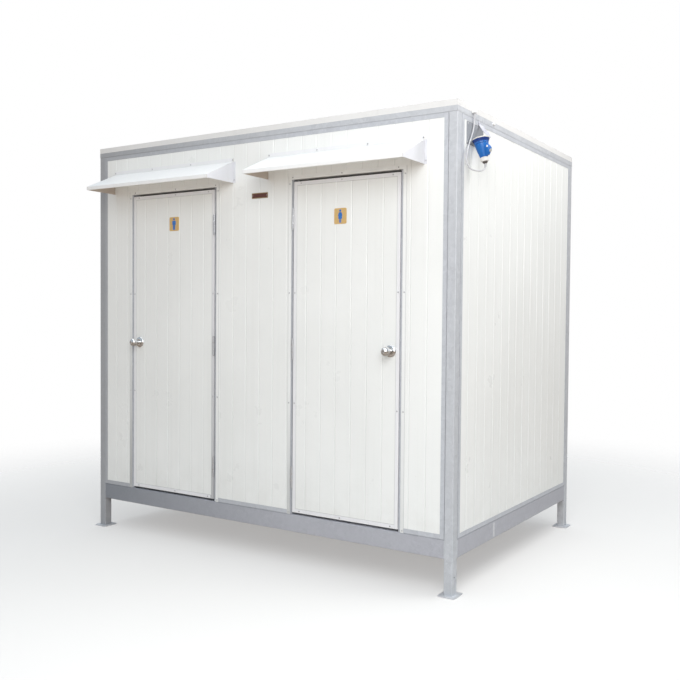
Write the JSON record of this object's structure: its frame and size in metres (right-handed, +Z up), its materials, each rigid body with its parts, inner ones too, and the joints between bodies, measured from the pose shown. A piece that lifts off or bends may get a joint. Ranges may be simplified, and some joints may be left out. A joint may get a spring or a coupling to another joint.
{
  "type": "toilet cabin",
  "caption": "Prefabricated toilet cabin: galvanised frame on feet, ribbed white wall panels, outward-opening doors with ball knobs under sloped rain hoods, and a WC in each compartment.",
  "frame": {"origin": "on the ground under the middle of the object's own bounding box, without the hanging supply cord and plug", "axes": "+X along the front from left to right as seen from outside, the doors face -Y, +Z up"},
  "size_m": [2.8436, 1.91, 2.5262],
  "materials": {
    "galvanised_steel": "hot-dip galvanised, dull, faint spangle",
    "white_panel": "smooth coated sheet, semi-gloss",
    "white_trim": "folded coated sheet, semi-gloss",
    "hinge_steel": "plain steel, dull",
    "pin_steel": "bright steel",
    "chrome": "polished",
    "screw_steel": "zinc plated",
    "floor_ply": "film-faced plywood",
    "sign_gold": "satin gold sheet",
    "name_plate": "satin",
    "plug_blue": "moulded",
    "white_plastic": "moulded",
    "cord_white": "matt sheath",
    "sanitary_ceramic": "glazed white",
    "seat_plastic": "moulded",
    "drain_grey": "moulded",
    "copper": "drawn tube"
  },
  "bodies": {
    "cabin": {"base_rails": "galvanised_steel", "floor_joists": "galvanised_steel", "corner_posts": "galvanised_steel", "base_plates": "galvanised_steel", "top_rails": "galvanised_steel", "wall_tracks": "galvanised_steel", "door_jambs": "galvanised_steel", "inlet_bracket": "galvanised_steel", "roof_panel": "white_panel", "wall_panel_left": "white_panel", "wall_panel_right": "white_panel", "wall_panel_back": "white_panel", "front_panel_left": "white_panel", "front_panel_middle": "white_panel", "front_panel_right": "white_panel", "front_header_panels": "white_panel", "partition_panel": "white_panel", "roof_edge_trim": "white_trim", "door_surround_trims": "white_trim", "door_canopies": "white_trim", "hinge_frame_leaves": "hinge_steel", "hinge_pins": "pin_steel", "seat_hinge_rods": "chrome", "fixing_screws": "screw_steel", "floor_deck": "floor_ply", "name_plate": "name_plate", "supply_plug": "plug_blue", "cord_gland": "white_plastic", "plug_gland": "white_plastic", "plug_strap": "white_plastic", "vent_grilles": "white_plastic", "ceiling_lights": "white_plastic", "supply_cord": "cord_white", "wc_pans": "sanitary_ceramic", "cisterns": "sanitary_ceramic", "cistern_lids": "sanitary_ceramic", "soil_pipes": "drain_grey", "water_pipe": "copper"},
    "door_left": {"door_leaf_left": "white_panel", "door_edge_trim_left": "white_trim", "hinge_leaves_left": "hinge_steel", "lock_trim_left": "chrome", "sign_plate_left": "sign_gold", "door_screws_left": "screw_steel"},
    "knob_left": {"door_knob_left": "chrome"},
    "latch_left": {"latch_bolt_left": "chrome"},
    "seat_left": {"wc_seat_left": "seat_plastic"},
    "lid_left": {"wc_lid_left": "seat_plastic"},
    "button_left": {"flush_button_left": "chrome"},
    "door_right": {"door_leaf_right": "white_panel", "door_edge_trim_right": "white_trim", "hinge_leaves_right": "hinge_steel", "lock_trim_right": "chrome", "sign_plate_right": "sign_gold", "door_screws_right": "screw_steel"},
    "knob_right": {"door_knob_right": "chrome"},
    "latch_right": {"latch_bolt_right": "chrome"},
    "seat_right": {"wc_seat_right": "seat_plastic"},
    "lid_right": {"wc_lid_right": "seat_plastic"},
    "button_right": {"flush_button_right": "chrome"}
  },
  "joints": [
    {"name": "door_left_hinge", "type": "hinge", "parent": "cabin", "child": "door_left", "pos_m": [-0.3045, -0.7465, 0], "axis": [0, 0, 1], "range_deg": [0, 100]},
    {"name": "knob_left_turn", "type": "hinge", "parent": "door_left", "child": "knob_left", "pos_m": [-0.964, -0.72, 1.247], "axis": [0, 1, 0], "range_deg": [0, 60], "stiffness_Nm_per_rad": 0.4},
    {"name": "latch_left_slide", "type": "slide", "parent": "door_left", "child": "latch_left", "axis": [1, 0, 0], "range_m": [0, 0.011]},
    {"name": "seat_left_hinge", "type": "hinge", "parent": "cabin", "child": "seat_left", "pos_m": [-0.662, 0.65, 0.716], "axis": [-1, 0, 0], "range_deg": [0, 88]},
    {"name": "lid_left_hinge", "type": "hinge", "parent": "cabin", "child": "lid_left", "pos_m": [-0.662, 0.65, 0.716], "axis": [-1, 0, 0], "range_deg": [-95, 0]},
    {"name": "button_left_press", "type": "slide", "parent": "cabin", "child": "button_left", "axis": [0, 0, -1], "range_m": [0, 0.006], "stiffness_N_per_m": 300},
    {"name": "door_right_hinge", "type": "hinge", "parent": "cabin", "child": "door_right", "pos_m": [0.3045, -0.7465, 0], "axis": [0, 0, -1], "range_deg": [0, 100]},
    {"name": "knob_right_turn", "type": "hinge", "parent": "door_right", "child": "knob_right", "pos_m": [0.964, -0.72, 1.247], "axis": [0, 1, 0], "range_deg": [0, 60], "stiffness_Nm_per_rad": 0.4},
    {"name": "latch_right_slide", "type": "slide", "parent": "door_right", "child": "latch_right", "axis": [-1, 0, 0], "range_m": [0, 0.011]},
    {"name": "seat_right_hinge", "type": "hinge", "parent": "cabin", "child": "seat_right", "pos_m": [0.662, 0.65, 0.716], "axis": [-1, 0, 0], "range_deg": [0, 88]},
    {"name": "lid_right_hinge", "type": "hinge", "parent": "cabin", "child": "lid_right", "pos_m": [0.662, 0.65, 0.716], "axis": [-1, 0, 0], "range_deg": [-95, 0]},
    {"name": "button_right_press", "type": "slide", "parent": "cabin", "child": "button_right", "axis": [0, 0, -1], "range_m": [0, 0.006], "stiffness_N_per_m": 300}
  ],
  "couplings": [
    {"joint": "latch_left_slide", "follows": "knob_left_turn", "m_per_rad": 0.0105},
    {"joint": "latch_right_slide", "follows": "knob_right_turn", "m_per_rad": 0.0105}
  ]
}
